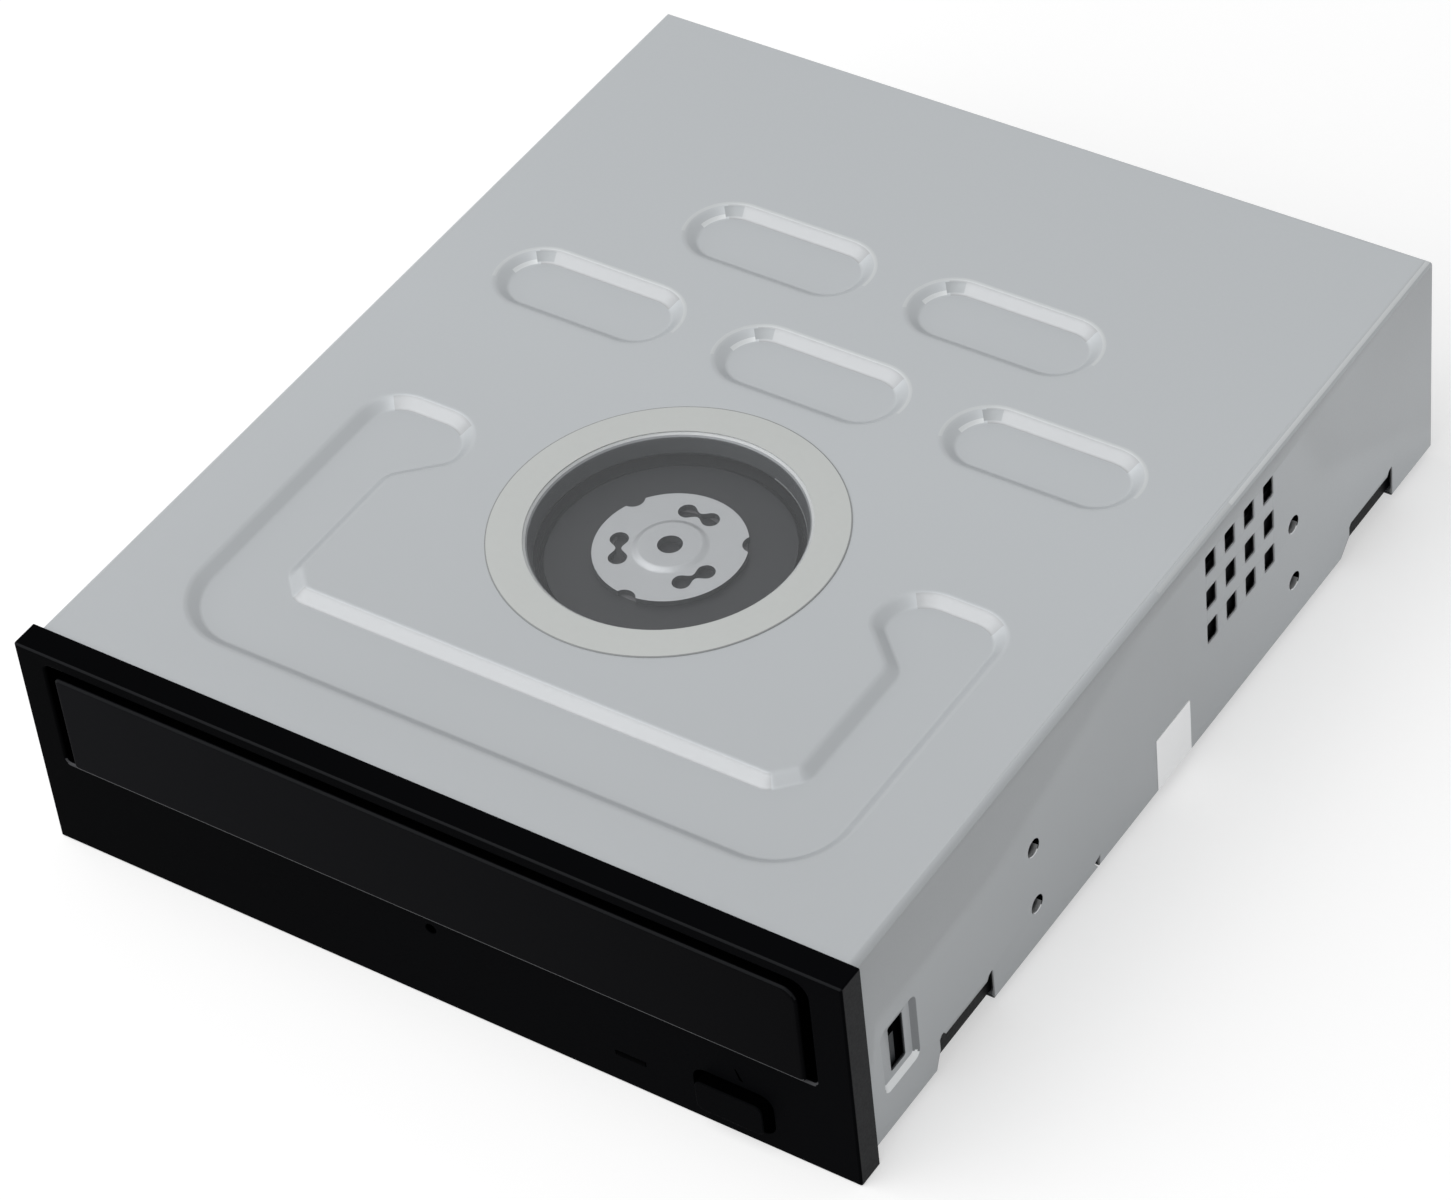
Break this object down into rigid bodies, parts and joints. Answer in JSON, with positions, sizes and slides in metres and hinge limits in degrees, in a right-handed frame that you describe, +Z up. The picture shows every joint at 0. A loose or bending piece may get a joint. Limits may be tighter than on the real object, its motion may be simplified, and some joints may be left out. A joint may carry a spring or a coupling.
{
  "type": "internal dvd drive",
  "caption": "Half-height internal disc drive in a sheet steel case with a black front panel, sliding tray, eject button, lifting disc mechanism and rear connectors.",
  "frame": {"origin": "middle of the base, on the surface that the drive stands on, with the tray closed", "axes": "+X to the right seen from the front, +Y from the front panel to the rear, +Z up"},
  "size_m": [0.1484, 0.179, 0.0418],
  "materials": {
    "case_steel": "satin zinc-coated sheet",
    "inner_steel": "satin",
    "bright_steel": "polished",
    "panel_black": "fine satin",
    "frame_black": "matte",
    "tray_black": "matte",
    "gear_white": "satin",
    "puck_grey": "matte",
    "film_clear": "clear film",
    "window_clear": "clear",
    "label_white": "paper label",
    "belt_rubber": "matte",
    "pad_rubber": "matte",
    "magnet_grey": "plated",
    "board_green": "lacquered board",
    "chip_black": "matte",
    "pin_brass": "plated",
    "socket_white": "satin",
    "socket_black": "satin",
    "ribbon_white": "flat cable",
    "sled_metal": "cast",
    "lens_glass": "clear",
    "copper": "wound wire",
    "can_silver": "satin"
  },
  "bodies": {
    "root": {"top_cover": "case_steel", "dust_film": "film_clear", "side_label": "label_white", "bottom_cover": "case_steel", "cover_screws": "inner_steel", "front_panel": "panel_black", "led_light_pipe": "window_clear", "indicator_led": "window_clear", "front_board": "board_green", "eject_switch": "inner_steel", "tray_switch": "chip_black", "loader_frame": "frame_black", "loading_motor": "can_silver", "drive_belt": "belt_rubber", "clamp_bridge": "frame_black", "bridge_screws": "inner_steel", "main_board": "board_green", "board_screws": "inner_steel", "board_chips": "chip_black", "board_capacitors": "can_silver", "header_shroud": "socket_black", "header_pins": "pin_brass", "power_shroud": "socket_white", "power_pins": "pin_brass", "jumper_block": "socket_black", "jumper_pins": "pin_brass", "audio_header": "socket_white", "audio_pins": "pin_brass", "board_ribbon": "ribbon_white", "ribbon_socket": "socket_white"},
    "tray": {"disc_tray": "tray_black", "tray_door": "panel_black"},
    "eject_button": {"eject_button": "panel_black"},
    "motor_pulley": {"motor_pulley": "gear_white"},
    "pulley_gear": {"pulley_gear": "gear_white"},
    "drive_gear": {"drive_gear": "gear_white"},
    "cam": {"cam_slider": "gear_white"},
    "traverse": {"traverse_holder": "frame_black", "dampers": "pad_rubber", "traverse_screws": "inner_steel", "traverse_plate": "inner_steel", "spindle_stator": "copper", "guide_rods": "bright_steel", "sled_motor": "can_silver"},
    "spindle": {"spindle_shaft": "bright_steel", "rotor_can": "can_silver", "turntable": "puck_grey", "turntable_pad": "pad_rubber"},
    "clamp": {"clamp_puck": "puck_grey", "clamp_magnet": "magnet_grey", "clamp_yoke": "inner_steel"},
    "lead_screw": {"lead_screw": "bright_steel"},
    "sled": {"pickup_sled": "sled_metal", "lens_magnets": "magnet_grey"},
    "lens": {"lens_holder": "chip_black", "objective_lens": "lens_glass"}
  },
  "joints": [
    {"name": "tray_slide", "type": "slide", "parent": "root", "child": "tray", "axis": [0, -1, 0], "range_m": [0, 0.132]},
    {"name": "eject_press", "type": "slide", "parent": "root", "child": "eject_button", "axis": [0, 1, 0], "range_m": [0, 0.0008], "stiffness_N_per_m": 300},
    {"name": "drive_gear_spin", "type": "hinge", "parent": "root", "child": "drive_gear", "pos_m": [-0.034, -0.0632, 0.02], "axis": [0, 0, 1], "range_deg": [0, 631.25]},
    {"name": "pulley_gear_spin", "type": "hinge", "parent": "root", "child": "pulley_gear", "pos_m": [-0.01349, -0.05869, 0.018], "axis": [0, 0, 1], "range_deg": [-1734.2, 0]},
    {"name": "motor_spin", "type": "hinge", "parent": "root", "child": "motor_pulley", "pos_m": [-0.053, -0.0637, 0.0173], "axis": [0, 0, 1], "range_deg": [-5147.26, 0]},
    {"name": "cam_slide", "type": "slide", "parent": "root", "child": "cam", "axis": [1, 0, 0], "range_m": [0, 0.02]},
    {"name": "traverse_tilt", "type": "hinge", "parent": "root", "child": "traverse", "pos_m": [0, 0.0628, 0.018], "axis": [1, 0, 0], "range_deg": [0, 4.16]},
    {"name": "spindle_spin", "type": "hinge", "parent": "traverse", "child": "spindle", "pos_m": [0, -0.02, 0.0298], "axis": [0, 0, 1], "continuous": true},
    {"name": "clamp_spin", "type": "hinge", "parent": "root", "child": "clamp", "pos_m": [0, -0.02, 0.0352], "axis": [0, 0, 1], "continuous": true},
    {"name": "sled_slide", "type": "slide", "parent": "traverse", "child": "sled", "axis": [0, 1, 0], "range_m": [0, 0.034]},
    {"name": "lead_screw_spin", "type": "hinge", "parent": "traverse", "child": "lead_screw", "pos_m": [0.0305, 0.0168, 0.0144], "axis": [0, 1, 0], "range_deg": [0, 4081]},
    {"name": "lens_focus", "type": "slide", "parent": "sled", "child": "lens", "axis": [0, 0, 1], "range_m": [-0.0004, 0.0004], "stiffness_N_per_m": 80}
  ],
  "couplings": [
    {"joint": "drive_gear_spin", "follows": "tray_slide", "rad_per_m": 83.333},
    {"joint": "pulley_gear_spin", "follows": "tray_slide", "rad_per_m": -229.17},
    {"joint": "motor_spin", "follows": "tray_slide", "rad_per_m": -680.45},
    {"joint": "traverse_tilt", "follows": "cam_slide", "rad_per_m": 3.6169},
    {"joint": "clamp_spin", "follows": "spindle_spin", "ratio": 1},
    {"joint": "lead_screw_spin", "follows": "sled_slide", "rad_per_m": 2094.4}
  ]
}
